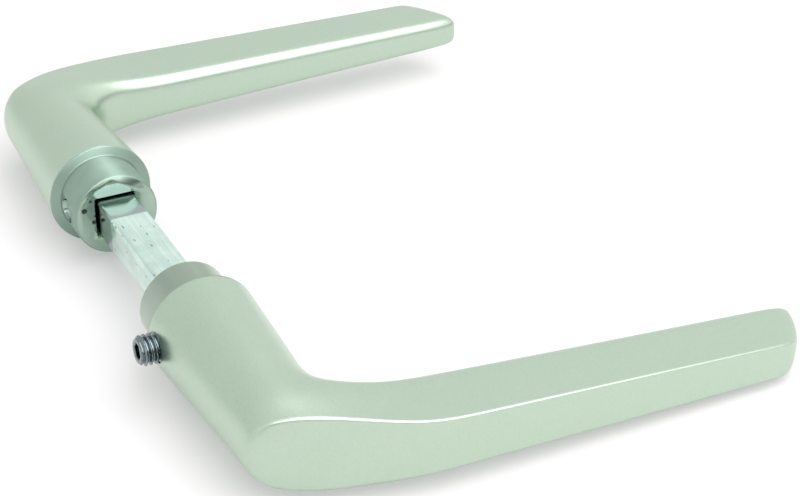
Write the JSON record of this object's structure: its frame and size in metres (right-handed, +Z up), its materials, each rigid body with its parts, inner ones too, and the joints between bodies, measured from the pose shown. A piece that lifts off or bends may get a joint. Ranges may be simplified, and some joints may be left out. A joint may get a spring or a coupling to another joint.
{
  "type": "door lever handle",
  "caption": "Pair of satin aluminium door lever handles joined by a square steel spindle, one lever pinned to it and the other clamped by a set screw.",
  "frame": {"origin": "on the spindle's axis, midway between the two collar ends, where the lock's follower holds the spindle", "axes": "+X from the spindle along the levers to their tips, +Y along the spindle to the fixed lever, +Z up"},
  "size_m": [0.1187, 0.1622, 0.022],
  "materials": {
    "aluminium": "satin anodised",
    "zinc_plated_steel": "drawn bar, bright zinc plated",
    "bright_steel": "ground end",
    "dark_steel": "blackened, oily"
  },
  "bodies": {
    "fixed_lever": {"fixed_lever": "aluminium", "spindle": "zinc_plated_steel", "retaining_pin": "bright_steel"},
    "loose_lever": {"loose_lever": "aluminium"},
    "set_screw": {"set_screw": "dark_steel"}
  },
  "joints": [
    {"name": "loose_lever_slide", "type": "slide", "parent": "fixed_lever", "child": "loose_lever", "axis": [0, -1, 0], "range_m": [-0.012, 0.028]},
    {"name": "set_screw_travel", "type": "slide", "parent": "loose_lever", "child": "set_screw", "axis": [0.9984, 0, -0.0558], "range_m": [-0.0019, 0.0037]}
  ]
}
